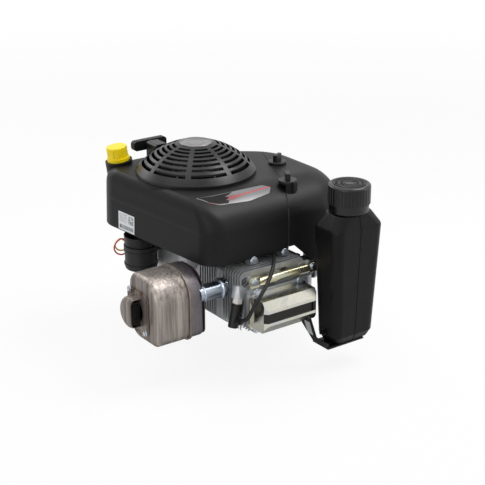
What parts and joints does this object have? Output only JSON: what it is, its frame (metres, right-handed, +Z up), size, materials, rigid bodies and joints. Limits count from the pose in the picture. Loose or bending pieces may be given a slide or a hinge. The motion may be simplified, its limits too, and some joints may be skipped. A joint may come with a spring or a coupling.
{
  "type": "small gasoline engine",
  "caption": "Vertical-shaft air-cooled single-cylinder overhead-valve engine with recoil and electric start, muffler, air cleaner and side-hung fuel tank.",
  "frame": {"origin": "crankshaft axis at the mounting face of the sump flange", "axes": "+Z up along the crankshaft, away from the power take-off; cylinder towards -Y; muffler on the -X side, air cleaner and fuel tank on the +X side"},
  "size_m": [0.4698, 0.4897, 0.4008],
  "materials": {
    "cast_aluminium": "die-cast, matt",
    "machined_aluminium": "machined",
    "steel": "ground",
    "zinc_steel": "bright zinc plate",
    "yellow_zinc": "yellow zinc plate",
    "muffler_steel": "heat-tinted, brushed",
    "cast_iron": "as cast",
    "black_plastic": "moulded, satin",
    "tank_plastic": "blow-moulded, satin",
    "yellow_plastic": "moulded",
    "black_rubber": "matt",
    "badge_metal": "brushed disc",
    "black_paint": "semi-gloss black",
    "gasket_fibre": "fibre gasket",
    "filter_paper": "pleated paper",
    "red_wire": "cable sheath",
    "yellow_wire": "cable sheath",
    "copper_black": "potted winding"
  },
  "bodies": {
    "engine": {"crankcase": "cast_aluminium", "sump_cover": "cast_aluminium", "sump_bolts": "steel", "oil_seals": "black_rubber", "head_gasket": "gasket_fibre", "cylinder_head": "cast_aluminium", "head_bolts": "steel", "valve_cover": "zinc_steel", "spark_plug": "steel", "plug_boot": "black_rubber", "ignition_lead": "black_rubber", "ignition_coil": "copper_black", "muffler_front_shell": "muffler_steel", "muffler_rear_shell": "muffler_steel", "muffler_plate": "muffler_steel", "exhaust_pipe": "zinc_steel", "muffler_deflector": "muffler_steel", "muffler_screen": "muffler_steel", "blower_housing": "black_plastic", "recoil_housing": "black_plastic", "grille_badge": "badge_metal", "pulley_screw": "steel", "starter_motor": "black_paint", "wire_red": "red_wire", "wire_yellow": "yellow_wire", "oil_fill_tube": "black_plastic", "fuel_tank": "tank_plastic", "tank_bracket": "black_paint", "carburetor": "machined_aluminium", "air_filter_base": "black_plastic", "air_filter_element": "filter_paper", "control_bracket": "yellow_zinc", "hex_screws": "zinc_steel"},
    "crank": {"crankshaft": "steel", "crank_gear": "steel", "flywheel": "cast_iron", "cooling_fan": "black_plastic", "starter_cup": "zinc_steel", "flywheel_nut": "steel"},
    "cam": {"camshaft": "cast_iron"},
    "piston_set": {"piston": "machined_aluminium", "piston_rings": "cast_iron", "piston_pin": "steel"},
    "rod": {"connecting_rod": "cast_aluminium", "rod_cap": "cast_aluminium", "crankpin": "steel"},
    "pinion": {"starter_pinion": "steel"},
    "grip": {"starter_grip": "black_plastic"},
    "pulley": {"rope_pulley": "black_plastic", "starter_rope": "black_rubber", "recoil_spring": "steel"},
    "oil_filler_cap": {"oil_cap": "yellow_plastic"},
    "fuel_filler_cap": {"fuel_cap": "black_plastic"},
    "filter_cover": {"air_cleaner_cover": "black_plastic"},
    "rear_knob": {"cover_knob_rear": "black_plastic"},
    "front_knob": {"cover_knob_front": "black_plastic"},
    "throttle": {"throttle_lever": "steel"},
    "governor": {"governor_lever": "zinc_steel"}
  },
  "joints": [
    {"name": "crank_spin", "type": "hinge", "parent": "engine", "child": "crank", "pos_m": [0, 0, 0], "axis": [0, 0, 1], "continuous": true},
    {"name": "cam_spin", "type": "hinge", "parent": "engine", "child": "cam", "pos_m": [0.0675, 0, 0], "axis": [0, 0, 1], "continuous": true},
    {"name": "piston_stroke", "type": "slide", "parent": "engine", "child": "piston_set", "axis": [0, 1, 0], "range_m": [0, 0.05715]},
    {"name": "rod_swing", "type": "hinge", "parent": "piston_set", "child": "rod", "pos_m": [0, -0.12058, 0.068], "axis": [0, 0, 1], "range_deg": [-18, 18]},
    {"name": "pinion_engage", "type": "slide", "parent": "engine", "child": "pinion", "axis": [0, 0, 1], "range_m": [0, 0.0285]},
    {"name": "rope_pull", "type": "slide", "parent": "engine", "child": "grip", "axis": [0, 1, 0], "range_m": [0, 0.9], "stiffness_N_per_m": 12, "springref_m": -0.6},
    {"name": "pulley_turn", "type": "hinge", "parent": "engine", "child": "pulley", "pos_m": [0, 0, 0], "axis": [0, 0, 1], "range_deg": [-1230, 5]},
    {"name": "oil_cap_lift", "type": "slide", "parent": "engine", "child": "oil_filler_cap", "axis": [-0.1288, 0.0396, 0.9909], "range_m": [0, 0.15]},
    {"name": "fuel_cap_lift", "type": "slide", "parent": "engine", "child": "fuel_filler_cap", "axis": [0, 0, 1], "range_m": [0, 0.04]},
    {"name": "cover_lift", "type": "slide", "parent": "engine", "child": "filter_cover", "axis": [0, 0, 1], "range_m": [0, 0.12]},
    {"name": "rear_knob_turn", "type": "hinge", "parent": "filter_cover", "child": "rear_knob", "pos_m": [0.158, -0.054, 0.262], "axis": [0, 0, 1], "range_deg": [0, 720]},
    {"name": "front_knob_turn", "type": "hinge", "parent": "filter_cover", "child": "front_knob", "pos_m": [0.103, -0.158, 0.262], "axis": [0, 0, 1], "range_deg": [0, 720]},
    {"name": "throttle_turn", "type": "hinge", "parent": "engine", "child": "throttle", "pos_m": [0.1123, -0.17838, 0.09], "axis": [0, 0, 1], "range_deg": [-75, 0]},
    {"name": "governor_swing", "type": "hinge", "parent": "engine", "child": "governor", "pos_m": [0.092, -0.03, 0.13], "axis": [0, 0, 1], "range_deg": [-8, 12]}
  ],
  "couplings": [
    {"joint": "cam_spin", "follows": "crank_spin", "ratio": -0.5},
    {"joint": "pulley_turn", "follows": "rope_pull", "rad_per_m": -23.502}
  ]
}
